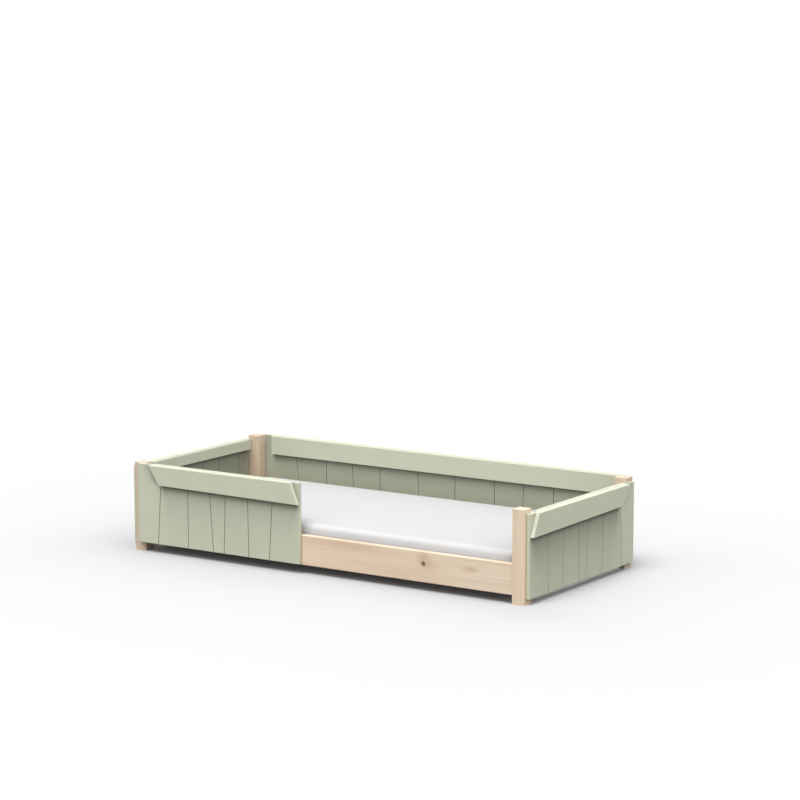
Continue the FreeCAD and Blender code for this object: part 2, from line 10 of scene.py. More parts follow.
import bpy
import numpy as np
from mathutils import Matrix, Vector

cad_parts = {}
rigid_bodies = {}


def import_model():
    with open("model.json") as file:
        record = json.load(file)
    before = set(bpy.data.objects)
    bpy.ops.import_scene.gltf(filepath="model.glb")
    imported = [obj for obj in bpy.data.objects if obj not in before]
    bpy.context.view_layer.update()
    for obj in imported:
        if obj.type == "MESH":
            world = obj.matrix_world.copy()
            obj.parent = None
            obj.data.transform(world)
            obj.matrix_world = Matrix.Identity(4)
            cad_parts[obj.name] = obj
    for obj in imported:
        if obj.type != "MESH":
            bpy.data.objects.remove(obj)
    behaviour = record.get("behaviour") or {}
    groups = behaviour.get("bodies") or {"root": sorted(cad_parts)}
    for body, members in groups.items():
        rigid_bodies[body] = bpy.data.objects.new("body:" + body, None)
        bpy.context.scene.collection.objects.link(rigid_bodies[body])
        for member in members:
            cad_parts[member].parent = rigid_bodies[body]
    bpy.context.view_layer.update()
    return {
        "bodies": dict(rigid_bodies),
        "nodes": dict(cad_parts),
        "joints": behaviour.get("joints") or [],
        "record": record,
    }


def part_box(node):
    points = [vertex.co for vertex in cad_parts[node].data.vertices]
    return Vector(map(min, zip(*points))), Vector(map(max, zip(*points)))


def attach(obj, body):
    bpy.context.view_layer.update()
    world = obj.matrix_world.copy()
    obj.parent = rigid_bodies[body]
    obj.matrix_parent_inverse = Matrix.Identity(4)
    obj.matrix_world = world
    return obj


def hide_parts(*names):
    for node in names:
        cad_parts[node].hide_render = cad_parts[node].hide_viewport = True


LOG = logging.getLogger("floor_bed")


# ---------------------------------------------------------------- shader graphs
@dataclass(frozen=True)
class Signal:
    """A shader socket that can stand in a sum.

    Attributes:
        graph: The graph that the socket belongs to.
        socket: The output socket.
    """

    graph: "Graph"
    socket: bpy.types.NodeSocket

    def math(self, operation: str, *others: "Value") -> "Signal":
        """A Math node on this value and the others."""
        return self.graph.math(operation, self, *others)

    def __add__(self, other: "Value") -> "Signal":
        """The sum of two values."""
        return self.math("ADD", other)

    def __sub__(self, other: "Value") -> "Signal":
        """This value less another."""
        return self.math("SUBTRACT", other)

    def __rsub__(self, other: "Value") -> "Signal":
        """Another value less this one."""
        return self.graph.math("SUBTRACT", other, self)

    def __mul__(self, other: "Value") -> "Signal":
        """The product of two values."""
        return self.math("MULTIPLY", other)

    def __truediv__(self, other: "Value") -> "Signal":
        """This value divided by another."""
        return self.math("DIVIDE", other)

    def __pow__(self, power: float) -> "Signal":
        """This value to a power."""
        return self.math("POWER", power)

    def hypot(self, other: "Signal") -> "Signal":
        """The length of the arrow that this value and another make at right angles."""
        return (self * self + other * other) ** 0.5

    def clamped(self) -> "Signal":
        """This value kept from 0 to 1."""
        return self.graph.node("ShaderNodeClamp", None, {"Value": self})

    def step(self, low: float, high: float) -> "Signal":
        """A smooth step: 0 below low, 1 above high, with an S between them."""
        values = {"Value": self, "From Min": low, "From Max": high}
        return self.graph.node("ShaderNodeMapRange", {"interpolation_type": "SMOOTHSTEP"}, values)

    def fading(self, length: float) -> "Signal":
        """A fall from 1 at no distance: e to the power of minus the distance over the length."""
        return (self * (-1.0 / length)).math("EXPONENT")

    def swing(self, width: float) -> "Signal":
        """A value around 0.5 made a swing around 0, as wide as `width` says."""
        return (self - 0.5) * width


Value = Union[Signal, float]
Colour = tuple[float, float, float]


@dataclass(frozen=True)
class Noise:
    """One kind of soft noise around 0.5.

    Attributes:
        scale: How fine it is.
        detail: How many finer layers it has.
        rough: How strong the finer layers are.
    """

    scale: float
    detail: float = 2.0
    rough: float = 0.5


class Graph:
    """The node graph of a material or of the world."""

    def __init__(self, name: str, owner: Optional[bpy.types.World] = None) -> None:
        """Starts an empty graph.

        Args:
            name: The name of the new material that it belongs to.
            owner: What it belongs to in place of a new material.
        """
        self.owner = owner or bpy.data.materials.new(name)
        self.owner.use_nodes = True
        self.tree = self.owner.node_tree
        self.tree.nodes.clear()

    def node(
        self,
        kind: str,
        settings: Optional[dict[str, Any]] = None,
        values: Optional[dict[Any, Any]] = None,
        output: Union[int, str] = 0,
    ) -> Signal:
        """Adds a node: its settings first, then its sockets' values or links.

        Args:
            kind: The node's type.
            settings: Attributes of the node. "stops" gives a ramp's positions and greys or colours.
            values: What each input holds, by name or number.
            output: The output to return.

        Returns:
            The chosen output.
        """
        made = self.tree.nodes.new(kind)
        for key, value in (settings or {}).items():
            if key == "stops":
                self._fill_ramp(made.color_ramp, value)
            else:
                setattr(made, key, value)
        for key, value in (values or {}).items():
            if isinstance(value, Signal):
                self.tree.links.new(value.socket, made.inputs[key])
            elif isinstance(value, tuple) and made.inputs[key].type == "RGBA":
                made.inputs[key].default_value = (*value[:3], 1.0)
            else:
                made.inputs[key].default_value = value
        return Signal(self, made.outputs[output])

    @staticmethod
    def _fill_ramp(ramp: bpy.types.ColorRamp, stops: Sequence[tuple[float, Any]]) -> None:
        """Sets a ramp's stops.

        Args:
            ramp: The ramp, which has two stops when it is new.
            stops: Positions with a grey or a colour each, in order.
        """
        while len(ramp.elements) < len(stops):
            ramp.elements.new(0.5)
        for element, (place, shade) in zip(ramp.elements, stops):
            element.position = place
            rgb = shade if isinstance(shade, tuple) else (shade, shade, shade)
            element.color = (*rgb, 1.0)

    def math(self, operation: str, *values: Value) -> Signal:
        """A Math node with its inputs in order."""
        return self.node("ShaderNodeMath", {"operation": operation}, dict(enumerate(values)))

    def mix(self, factor: Value, first: Any, second: Any) -> Signal:
        """A mix of two colours, where the factor is the second one's share."""
        settings = {"data_type": "RGBA", "blend_type": "MIX"}
        return self.node("ShaderNodeMix", settings, {0: factor, 6: first, 7: second}, output=2)

    def coordinates(self) -> Signal:
        """Object coordinates, in metres."""
        return self.node("ShaderNodeTexCoord", output="Object")

    def split(self, vector: Signal) -> tuple[Signal, Signal, Signal]:
        """The three parts of a vector."""
        made = self.node("ShaderNodeSeparateXYZ", None, {0: vector}).socket.node
        return tuple(Signal(self, made.outputs[i]) for i in range(3))

    def join(self, x: Value, y: Value, z: Value) -> Signal:
        """A vector from three numbers."""
        return self.node("ShaderNodeCombineXYZ", None, {0: x, 1: y, 2: z})

    def noise(self, place: Signal, kind: Noise) -> Signal:
        """One kind of noise, read at a place."""
        values = {"Scale": kind.scale, "Detail": kind.detail, "Roughness": kind.rough}
        return self.node("ShaderNodeTexNoise", None, {"Vector": place, **values})

    def bump(self, height: Signal, strength: float, distance: float) -> Signal:
        """A normal bumped by a relief that is `distance` metres deep."""
        values = {"Strength": strength, "Distance": distance, "Height": height}
        return self.node("ShaderNodeBump", None, values, output="Normal")

    def finish(self, **inputs: Any) -> bpy.types.Material:
        """Ends the graph in a Principled shader.

        Args:
            inputs: The shader's inputs, with _ for each space in their names.

        Returns:
            The material.
        """
        values = {key.replace("_", " "): value for key, value in inputs.items()}
        self.show(self.node("ShaderNodeBsdfPrincipled", None, values))
        return self.owner

    def show(self, shader: Signal) -> None:
        """Links a shader to the output.

        Args:
            shader: The shader.
        """
        kind = "World" if isinstance(self.owner, bpy.types.World) else "Material"
        end = self.tree.nodes.new("ShaderNodeOutput" + kind)
        self.tree.links.new(shader.socket, end.inputs["Surface"])


# ---------------------------------------------------------------- finishes
class Grain(Enum):
    """The way that a board's grain runs."""

    ALONG_X = 0
    ALONG_Y = 1
    ALONG_Z = 2


@dataclass(frozen=True)
class Knot:
    """A knot that goes through a board.

    Attributes:
        along: Its place along the grain, in metres.
        across: Its place across the visible face, in metres.
        radius: The radius of its dark heart, in metres.
        depth: How dark the heart is, from 0 to 1.
        stretch: How long the knot is along the grain, in widths.
        soft: How softly its heart ends, in radii.
    """

    along: float
    across: float
    radius: float
    depth: float = 1.0
    stretch: float = 1.3
    soft: float = 0.35


@dataclass(frozen=True)
class Pine:
    """Clear-lacquered softwood, cut from a log whose rings show on faces and ends alike.

    Attributes:
        name: The material's name.
        grain: The way that the grain runs.
        pith: The log's middle, on the two axes across the grain, in metres.
        across_axis: Which of the two axes across the grain the knots' places are on.
        knots: The board's knots.
        early: The colour of the pale part of a ring.
        late: The colour of the dark part of a ring.
        ring: The width of a year's ring, in metres.
        seed: Moves the noise, so that no two boards are alike.
    """

    name: str
    grain: Grain
    pith: tuple[float, float]
    across_axis: int = 1
    knots: tuple[Knot, ...] = ()
    early: Colour = (0.885, 0.730, 0.562)
    late: Colour = (0.755, 0.572, 0.402)
    ring: float = 0.0072
    seed: float = 0.0

    # The colours of knots and stains, and how the palest wood turns rosy.
    KNOT_BROWNS: ClassVar[tuple[Colour, Colour]] = ((0.17, 0.075, 0.045), (0.30, 0.15, 0.085))
    STAIN_BROWN: ClassVar[Colour] = (0.60, 0.375, 0.225)
    ROSY: ClassVar[Colour] = (1.04, 0.93, 0.86)
    ROSY_SHARE: ClassVar[float] = 0.55
    # How far the noise is drawn out along the grain: its speed along beside its speed across.
    BROAD: ClassVar[float] = 0.09
    BANDED: ClassVar[float] = 0.035
    FIBROUS: ClassVar[float] = 0.018
    ROUND_KNOTS: ClassVar[float] = 0.6
    # The kinds of noise. Each warp also has the distance that it bends the rings by.
    WARPS: ClassVar[tuple[tuple[Noise, float], ...]] = ((Noise(7.0), 0.030), (Noise(28.0), 0.006))
    WARM: ClassVar[Noise] = Noise(3.1)
    CLOUD: ClassVar[Noise] = Noise(11.0, 3.0, 0.6)
    BAND: ClassVar[Noise] = Noise(62.0, 2.0, 0.55)
    RAGGED: ClassVar[Noise] = Noise(130.0)
    STREAK: ClassVar[Noise] = Noise(260.0, 3.0, 0.65)
    FIBRE: ClassVar[Noise] = Noise(900.0, 2.0, 0.6)
    WARP_BACK: ClassVar[float] = 0.6  # the share of that distance on the second axis
    # How dark the wood is across one ring, from its start to its end.
    RING_TONES: ClassVar[tuple[tuple[float, float], ...]] = (
        (0.0, 0.10), (0.45, 0.22), (0.86, 1.0), (0.97, 0.35), (1.0, 0.10),
    )
    # How much each adds to the dark wood's share. Rings show more where it is cloudy.
    EVEN_SHARE: ClassVar[float] = 0.10
    RING_SHARE: ClassVar[float] = 0.16
    CLOUDY_RINGS: ClassVar[float] = 0.45
    STREAK_SHARE: ClassVar[float] = 0.55
    CLOUD_SHARE: ClassVar[float] = 1.5
    BAND_SHARE: ClassVar[float] = 1.5
    HALO_SHARE: ClassVar[float] = 0.35
    # Knots, in their own radii: the heart's edge, how ragged it is, the halo's start and end,
    # and how far the rings move out.
    HEART_EDGE: ClassVar[float] = 0.9
    RAGGEDNESS: ClassVar[float] = 0.9
    HALO: ClassVar[tuple[float, float]] = (0.8, 5.5)
    RING_BEND: ClassVar[float] = 1.6
    STAIN_DEPTH: ClassVar[float] = 0.5  # a knot that is less dark than this is only a stain

    def knotted(
        self, along: Signal, face: Signal, ragged: Signal, radius: Signal
    ) -> tuple[Signal, Value, Value, Value]:
        """Bends the rings round the knots: a ring moves outwards near a knot, most at its middle.

        Args:
            along: The place along the grain.
            face: The place across the visible face.
            ragged: Noise that roughens the knots' outlines.
            radius: The distance from the pith.

        Returns:
            The bent radius, and how much of a knot's heart, a stain and a halo there is.
        """
        heart: Value = 0.0
        stain: Value = 0.0
        halo: Value = 0.0
        for knot in self.knots:
            gap_along = (along - knot.along) * (1.0 / knot.stretch)
            gap_across = face - knot.across
            distance = gap_along.hypot(gap_across) + ragged.swing(knot.radius * self.RAGGEDNESS)
            inner, outer = (knot.radius * (self.HEART_EDGE + side * knot.soft) for side in (-1, 1))
            core = 1.0 - distance.step(inner, outer)
            around = 1.0 - distance.step(*(knot.radius * reach for reach in self.HALO))
            if knot.depth < self.STAIN_DEPTH:
                stain = core * (knot.depth / self.STAIN_DEPTH) + stain
            else:
                heart = core * knot.depth + heart
            halo = around * around * knot.depth + halo
            radius = radius + around * around * (knot.radius * self.RING_BEND)
        return radius, heart, stain, halo

    def material(self) -> bpy.types.Material:
        """Builds the wood.

        A ring's place is the distance from the pith, warped by noise that is long along the
        grain and by each knot. The dark part of a ring comes on slowly and ends sharply.

        Returns:
            The material.
        """
        graph = Graph(self.name)
        parts = list(graph.split(graph.coordinates()))
        along = parts.pop(self.grain.value)
        first, second = parts
        broad_place = graph.join(first + self.seed, second, along * self.BROAD)
        fibre_place = graph.join(first, second + self.seed, along * self.FIBROUS)
        band_place = graph.join(first, second + self.seed, along * self.BANDED)
        wide, narrow = (graph.noise(broad_place, kind).swing(width) for kind, width in self.WARPS)
        warp = wide + narrow
        u = first - self.pith[0] + warp
        v = second - self.pith[1] + warp * self.WARP_BACK
        face = second if self.across_axis else first
        ragged = graph.noise(graph.join(first, second, along * self.ROUND_KNOTS), self.RAGGED)
        radius, heart, stain, halo = self.knotted(along, face, ragged, u.hypot(v))
        phase = (radius * (1.0 / self.ring)).math("FRACT")
        tones = graph.node("ShaderNodeValToRGB", {"stops": self.RING_TONES}, {0: phase})
        ring = graph.node("ShaderNodeRGBToBW", None, {0: tones})
        cloud = graph.noise(broad_place, self.CLOUD)
        streak = graph.noise(fibre_place, self.STREAK)
        band = graph.noise(band_place, self.BAND)
        fibre = graph.noise(fibre_place, self.FIBRE)
        dark = ring * (cloud.step(0.30, 0.72) * self.CLOUDY_RINGS + self.RING_SHARE)
        dark = dark + streak.swing(self.STREAK_SHARE) + cloud.swing(self.CLOUD_SHARE)
        dark = dark + band.swing(self.BAND_SHARE) + self.EVEN_SHARE
        if self.knots:
            dark = dark + halo * self.HALO_SHARE
        colour = graph.mix(dark.clamped(), self.early, self.late)
        rosy = tuple(c * k for c, k in zip(self.early, self.ROSY))
        warm = graph.noise(broad_place, self.WARM).step(0.42, 0.75)
        colour = graph.mix(warm * self.ROSY_SHARE, colour, rosy)
        if self.knots:
            browns = self.STAIN_BROWN, graph.mix(fibre, *self.KNOT_BROWNS)
            for share, brown in zip((stain, heart), browns):
                colour = graph.mix(graph.math("MINIMUM", share, 1.0), colour, brown)
        return graph.finish(
            Base_Color=colour,
            Roughness=(fibre.swing(0.18) + ring * 0.05 + 0.46).clamped(),
            Normal=graph.bump(streak * 0.5 + fibre * 0.3 - ring * 0.25, 0.35, 0.00025),
            Coat_Weight=0.12,
            Coat_Roughness=0.35,
        )


@dataclass(frozen=True)
class Side:
    """The boards of one side, which were painted together.

    Attributes:
        name: The side.
        across: The axis of its boards' thickness, 0 for x or 1 for y.
        outwards: The way of their outer faces on that axis, 1 or -1.
        wide: The fall, in metres, and strength of the painted soft shade under its caps.
        beside: How deep the painted shade is beside its outer cap's start and end, from 0 to 1.
        inner_shade: Painted shade: how much darker its panel's inner face is than the outer, from 0
            to 1.
        inner_cap_shade: Painted shade: how much darker its inner cap is at its face than at its
            back, from 0 to 1.
        seed: Moves the noise in its paint.
    """

    name: str
    across: int
    outwards: int
    wide: tuple[float, float]
    beside: tuple[float, float]
    inner_shade: float
    inner_cap_shade: float
    seed: float


@dataclass(frozen=True)
class Shelter:
    """Where a cap board casts painted shade on the panel under it. Its corners are places along it
    and heights.

    Attributes:
        outwards: 1 for the panel's outer face and -1 for its inner face.
        start: The start of the cap's lower edge.
        end: The end of that edge.
        top_start: The start of the cap's upper edge.
        top_end: The end of that edge.
        tone: Painted shade: how much darker the paint is on the whole of this face, from 0 to 1.
        beside: How deep the painted shade is beside the cap's start and its end, from 0 to 1.
    """

    outwards: int
    start: Sequence[float]
    end: Sequence[float]
    top_start: Sequence[float]
    top_end: Sequence[float]
    tone: float
    beside: tuple[float, float]


@dataclass(frozen=True)
class PaintedBoard:
    """Where a painted board lies.

    Attributes:
        side: The side of the bed that it is on.
        low: Its lowest corner.
        high: Its highest corner.
        shelters: The cap boards over its faces.
    """

    side: Side
    low: Sequence[float]
    high: Sequence[float]
    shelters: tuple[Shelter, ...] = ()

    @property
    def half(self) -> float:
        """Half its thickness."""
        return (self.high[self.side.across] - self.low[self.side.across]) / 2


@dataclass(frozen=True)
class Spot:
    """The place on a board that its paint is worked out for.

    Attributes:
        board: The board.
        side: The place across the board, outwards from its middle.
        along: The place along it.
        z: The height.
    """

    board: PaintedBoard
    side: Signal
    along: Signal
    z: Signal


@dataclass(frozen=True)
class SagePaint:
    """Satin paint, sprayed on fibreboard, with a faint orange peel and a dusty mottle.

    Painted shade darkens it in the grooves, under and beside the cap boards, and on the inner
    faces.

    Attributes:
        name: The material's name.
        tone: Painted shade: how much darker an inner cap board is at its face than at its back,
            from 0 to 1.
        colour: The paint's colour.
        shade: The colour of its darker mottle.
        painted_shade: The colour of the painted shade in the grooves, round the caps and on inner
            faces.
        painted_contact_shadow: The fall and strength of the painted shadow line just under a cap.
        beside: The fall of the painted shade beside a cap's slanted ends.
        fan: How far the painted shade under a cap spreads past its ends, and how soft it gets, for
        each metre that it falls.
        groove: The depths between which painted shade darkens a groove, and how dark it gets.
        edge: How far from the board's edges the grooves' mask keeps, in metres.
    """

    name: str
    tone: float = 0.0
    colour: Colour = (0.640, 0.662, 0.512)
    shade: Colour = (0.612, 0.636, 0.488)
    painted_shade: Colour = (0.045, 0.048, 0.036)
    painted_contact_shadow: tuple[float, float] = (0.009, 0.72)
    beside: float = 0.022
    fan: tuple[float, float] = (0.35, 0.7)
    groove: tuple[float, float, float] = (0.0002, 0.0015, 0.92)
    edge: float = 0.002

    MOTTLE: ClassVar[Noise] = Noise(9.0, 3.0, 0.6)
    SPECK: ClassVar[Noise] = Noise(420.0, 2.0, 0.6)
    PEEL: ClassVar[Noise] = Noise(620.0, 1.0, 0.4)
    SWELL: ClassVar[Noise] = Noise(55.0, 1.0, 0.4)
    # Painted shade under and beside the caps: how softly it ends and starts, and how far it
    # reaches.
    SOFT_END: ClassVar[float] = 0.012  # how softly the shade under a cap ends at the cap's edge
    SHADE_START_SOFTNESS: ClassVar[float] = 0.0015  # how softly it starts at the cap's lower edge
    OUTER_SKIN: ClassVar[tuple[float, float]] = (0.004, 0.006)  # what counts as a board's face
    UNDER_CAP: ClassVar[float] = 0.010  # how far the shade beside a cap goes on behind it
    MASK_EDGE: ClassVar[float] = 0.0005

    def past_end(self, spot: Spot, cap: Shelter, way: int) -> Signal:
        """The painted shade beside one slanted end of a cap: it falls with the distance past that
        end.

        Args:
            spot: The place on the board.
            cap: The cap board.
            way: -1 for the cap's start and 1 for its end.

        Returns:
            The shade, from 0 to 1.
        """
        low, top = (cap.start, cap.top_start) if way < 0 else (cap.end, cap.top_end)
        lean = (top[0] - low[0]) / (top[1] - low[1])
        past = (spot.along - (spot.z - low[1]) * lean - low[0]) * way
        fall = past.math("MAXIMUM", 0.0).fading(self.beside)
        return fall * past.step(-self.UNDER_CAP, 0.0) * cap.beside[way > 0]

    def under_cap(self, spot: Spot, cap: Shelter) -> Signal:
        """The painted shade round a cap: two falls with the distance below its edge, and one past
        each end.

        The shade under it fans out past the ends of the edge as it falls.

        Args:
            spot: The place on the board.
            cap: The cap board.

        Returns:
            The shade, from 0 to 1 or a little more.
        """
        # Painted shade: a dark line and a soft fall under the cap's lower edge, fanning past its
        # ends.
        slope = (cap.end[1] - cap.start[1]) / (cap.end[0] - cap.start[0])
        below = (spot.along - cap.start[0]) * slope + cap.start[1] - spot.z
        drop = below.math("MAXIMUM", 0.0)
        wide, painted_contact_shadow = (
            drop.fading(reach) * strength for reach, strength in (spot.board.side.wide, self.painted_contact_shadow)
        )
        fall = wide + painted_contact_shadow
        spread, softness = self.fan
        soft = drop * softness + self.SOFT_END
        start = ((spot.along - cap.start[0] + drop * spread) / soft).clamped()
        end = ((cap.end[0] - spot.along + drop * spread) / soft).clamped()
        edge = below.step(-self.SHADE_START_SOFTNESS, 0.0)
        ends = self.past_end(spot, cap, -1) + self.past_end(spot, cap, 1)
        return fall * start * end * edge + ends * (1.0 - edge)

    def sheltered(self, spot: Spot) -> Value:
        """How deep the painted shade round the caps is on each face, over that face's own even
        painted shade.

        Args:
            spot: The place on the board.

        Returns:
            The shade, from 0 to 1 or a little more.
        """
        total: Value = 0.0
        for cap in spot.board.shelters:
            fall = self.under_cap(spot, cap)
            face = (spot.side * cap.outwards).step(*self.OUTER_SKIN)
            total = (fall + (1.0 - fall) * cap.tone) * face + total
        return total

    def grooves(self, spot: Spot) -> Signal:
        """Painted shade in the grooves: deeper than the faces, and away from the board's edges.

        Args:
            spot: The place on the board.

        Returns:
            How dark the painted shade is, from 0 to 1.
        """
        board = spot.board
        shallow, deep, strength = self.groove
        # Painted shade: darker where the surface lies deeper than the face.
        mask = (board.half - spot.side.math("ABSOLUTE")).step(shallow, deep)
        for place, axis in ((spot.along, 1 - board.side.across), (spot.z, 2)):
            low, high = board.low[axis] + self.edge, board.high[axis] - self.edge
            mask = mask * place.step(low, low + self.MASK_EDGE)
            mask = mask * (1.0 - place.step(high - self.MASK_EDGE, high))
        return mask * strength

    def material(self, board: PaintedBoard) -> bpy.types.Material:
        """Builds the paint: two sizes of mottle and painted shade in its colour, and spray relief
        in its normal.

        Args:
            board: The board that it is for.

        Returns:
            The material.
        """
        graph = Graph(self.name)
        x, y, z = graph.split(graph.coordinates())
        across = board.side.across
        middle = (board.high[across] + board.low[across]) / 2
        side = ((x, y)[across] - middle) * board.side.outwards
        spot = Spot(board, side, (y, x)[across], z)
        place = graph.join(x + board.side.seed, y, z)
        kinds = (self.MOTTLE, self.SPECK, self.PEEL, self.SWELL)
        mottle, speck, peel, swell = (graph.noise(place, kind) for kind in kinds)
        factor = (mottle.step(0.3, 0.7) * 0.7 + speck.swing(0.5)).clamped()
        colour = graph.mix(factor, self.colour, self.shade)
        # Painted shade in the grooves and round the caps, mixed over the mottled colour.
        if board.shelters:
            dark = graph.math("MAXIMUM", self.sheltered(spot), self.grooves(spot))
            colour = graph.mix(dark.clamped(), colour, self.painted_shade)
        # Painted shade: an inner cap board is darker towards its face.
        elif self.tone:
            inner = 1.0 - side.step(-board.half, board.half)
            colour = graph.mix(inner * self.tone, colour, self.painted_shade)
        return graph.finish(
            Base_Color=colour,
            Roughness=(mottle.swing(0.10) + speck.swing(0.12) + 0.50).clamped(),
            Normal=graph.bump(peel * 0.6 + swell * 0.4, 0.16, 0.0004),
            Specular_IOR_Level=0.42,
        )


@dataclass(frozen=True)
class KnittedCover:
    """A white knitted mattress cover, with a painted highlight along its upper edge.

    Attributes:
        name: The material's name.
        top: The height of the mattress's top, in metres.
        colour: The yarn's colour.
        hollow: The colour between the yarns.
        painted_highlight: The colour of a paler band along the upper edge, a painted highlight.
        stitch: The width of one stitch, in metres.
        rim: How far below the top the painted highlight band starts and is full, and is full and
            ends.
        highlight_share: How much of the painted highlight's colour the band has, from 0 to 1.
    """

    name: str
    top: float
    colour: Colour = (0.618, 0.618, 0.626)
    hollow: Colour = (0.556, 0.556, 0.568)
    painted_highlight: Colour = (0.650, 0.650, 0.655)
    stitch: float = 0.0019
    rim: tuple[float, float, float, float] = (0.032, 0.020, 0.0085, 0.0065)
    highlight_share: float = 0.85

    PULL: ClassVar[Noise] = Noise(4.0)
    SLUB: ClassVar[Noise] = Noise(300.0, 2.0, 0.6)
    SLUB_LENGTH: ClassVar[float] = 0.08  # the slubs' speed along the yarn beside that across it

    def material(self) -> bpy.types.Material:
        """Builds the knit: rows of small ribs, each the product of two sine waves, over soft pulls.

        Returns:
            The material.
        """
        graph = Graph(self.name)
        x, y, z = graph.split(graph.coordinates())
        turns = 2.0 * math.pi / self.stitch
        rib = ((y + z) * turns).math("SINE")
        loop = ((x + z * 0.5) * (turns * 0.7) + rib * 1.3).math("SINE")
        stitch = rib * loop * 0.25 + rib * 0.15 + 0.5
        pull = graph.noise(graph.join(x, y, z), self.PULL)
        slub = graph.noise(graph.join(x * self.SLUB_LENGTH, y, z), self.SLUB)
        factor = (stitch * 0.5 + slub.swing(0.4) + pull.swing(0.3) + 0.2).clamped()
        colour = graph.mix(factor, self.hollow, self.colour)
        # Painted highlight: a paler band along the upper edge.
        start, full, still_full, end = (self.top - drop for drop in self.rim)
        rim = z.step(start, full) * (1.0 - z.step(still_full, end))
        colour = graph.mix(rim * self.highlight_share, colour, self.painted_highlight)
        return graph.finish(
            Base_Color=colour,
            Roughness=(slub.swing(0.1) + 0.86).clamped(),
            Normal=graph.bump(stitch * 0.6 + slub * 0.4, 0.3, 0.0003),
            Sheen_Weight=0.08,
            Sheen_Roughness=0.5,
            Specular_IOR_Level=0.25,
        )


@dataclass(frozen=True)
class ZincSteel:
    """Zinc-plated steel with fine rolling lines.

    Attributes:
        name: The material's name.
        colour: The plating's colour.
        dulled: How bright its dull spangles are beside the others.
    """

    name: str
    colour: Colour = (0.60, 0.60, 0.585)
    dulled: float = 0.78

    SPANGLE_SCALE: ClassVar[float] = 350.0
    LINES: ClassVar[Noise] = Noise(2400.0, 2.0, 0.6)
    LINE_LENGTH: ClassVar[float] = 0.05  # the rolling lines' speed along z beside that across it

    def material(self) -> bpy.types.Material:
        """Builds the plating: spangled grey with drawn-out noise for its rolling lines.

        Returns:
            The material.
        """
        graph = Graph(self.name)
        place = graph.coordinates()
        x, y, z = graph.split(place)
        values = {"Vector": place, "Scale": self.SPANGLE_SCALE}
        spangle = graph.node("ShaderNodeTexVoronoi", None, values)
        lines = graph.noise(graph.join(x, y, z * self.LINE_LENGTH), self.LINES)
        dull = tuple(c * self.dulled for c in self.colour)
        colour = graph.mix((spangle * 1.3).clamped(), self.colour, dull)
        return graph.finish(
            Base_Color=colour,
            Metallic=0.9,
            Roughness=(lines * 0.22 + 0.28).clamped(),
            Normal=graph.bump(lines, 0.12, 0.0001),
        )


@dataclass(frozen=True)
class Webbing:
    """Woven tape with a herringbone of thick yarn.

    Attributes:
        name: The material's name.
        yarn: The width of one yarn, in metres.
        turn: How many yarns lie across one stripe of the herringbone and its return.
        pale: The colour of the yarn.
        hollow: The colour between the yarns.
    """

    name: str
    yarn: float = 0.0016
    turn: float = 8.0
    pale: Colour = (0.72, 0.71, 0.67)
    hollow: Colour = (0.48, 0.47, 0.43)

    FUZZ: ClassVar[Noise] = Noise(900.0)

    def material(self) -> bpy.types.Material:
        """Builds the weave: slanted ribs whose slant turns with the sign of a slow wave across.

        Returns:
            The material.
        """
        graph = Graph(self.name)
        place = graph.coordinates()
        x, y, _ = graph.split(place)
        turns = 2.0 * math.pi / self.yarn
        side = (y * (turns / self.turn)).math("SINE").math("SIGN")
        rib = (x * turns + y * side * turns).math("SINE") * 0.5 + 0.5
        fuzz = graph.noise(place, self.FUZZ)
        factor = (rib * 0.7 + fuzz.swing(0.5) + 0.15).clamped()
        return graph.finish(
            Base_Color=graph.mix(factor, self.hollow, self.pale),
            Roughness=(fuzz * 0.2 + 0.75).clamped(),
            Normal=graph.bump(rib, 0.5, 0.0004),
        )


# ---------------------------------------------------------------- helpers
Nodes = dict[str, bpy.types.Object]


def dress(nodes: Nodes, names: Sequence[str], material: bpy.types.Material) -> None:
    """Gives CAD nodes a material in place of the plain one they carry.

    Args:
        nodes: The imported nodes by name.
        names: The nodes to dress.
        material: Their new material.
    """
    for name in names:
        for place in nodes[name].material_slots:
            place.material = material
        LOG.info("dressed %s in %s", name, material.name)


def new_object(data: bpy.types.ID) -> bpy.types.Object:
    """An object in the scene for a mesh, a light or a camera.

    Args:
        data: What the object shows, whose name it takes.

    Returns:
        The object, at the origin.
    """
    made = bpy.data.objects.new(data.name, data)
    bpy.context.scene.collection.objects.link(made)
    return made


def apply_modifiers(piece: bpy.types.Object) -> None:
    """Bakes a piece's modifiers into its mesh.

    Args:
        piece: The piece.
    """
    ready = bpy.context.evaluated_depsgraph_get()
    mesh = bpy.data.meshes.new_from_object(piece.evaluated_get(ready))
    piece.modifiers.clear()
    piece.data = mesh


def points_of(mesh: bpy.types.Mesh) -> np.ndarray:
    """A mesh's points.

    Args:
        mesh: The mesh.

    Returns:
        One row for each point.
    """
    points = np.empty(len(mesh.vertices) * 3)
    mesh.vertices.foreach_get("co", points)
    return points.reshape(-1, 3)


def ring_quads(rings: int, count: int, order: Sequence[int]) -> np.ndarray:
    """Quads from ring to ring: each has two neighbours of one ring and the same two of the next.

    Args:
        rings: How many rings there are.
        count: How many points each has.
        order: The order in which a quad goes round its four corners, which turns its face.

    Returns:
        One row of four point numbers for each quad.
    """
    ring, place = np.meshgrid(np.arange(rings - 1), np.arange(count), indexing="ij")
    ahead = (place + 1) % count
    near, far = ring * count, (ring + 1) * count
    corners = near + place, near + ahead, far + ahead, far + place
    return np.stack([corners[i] for i in order], axis=-1).reshape(-1, 4)


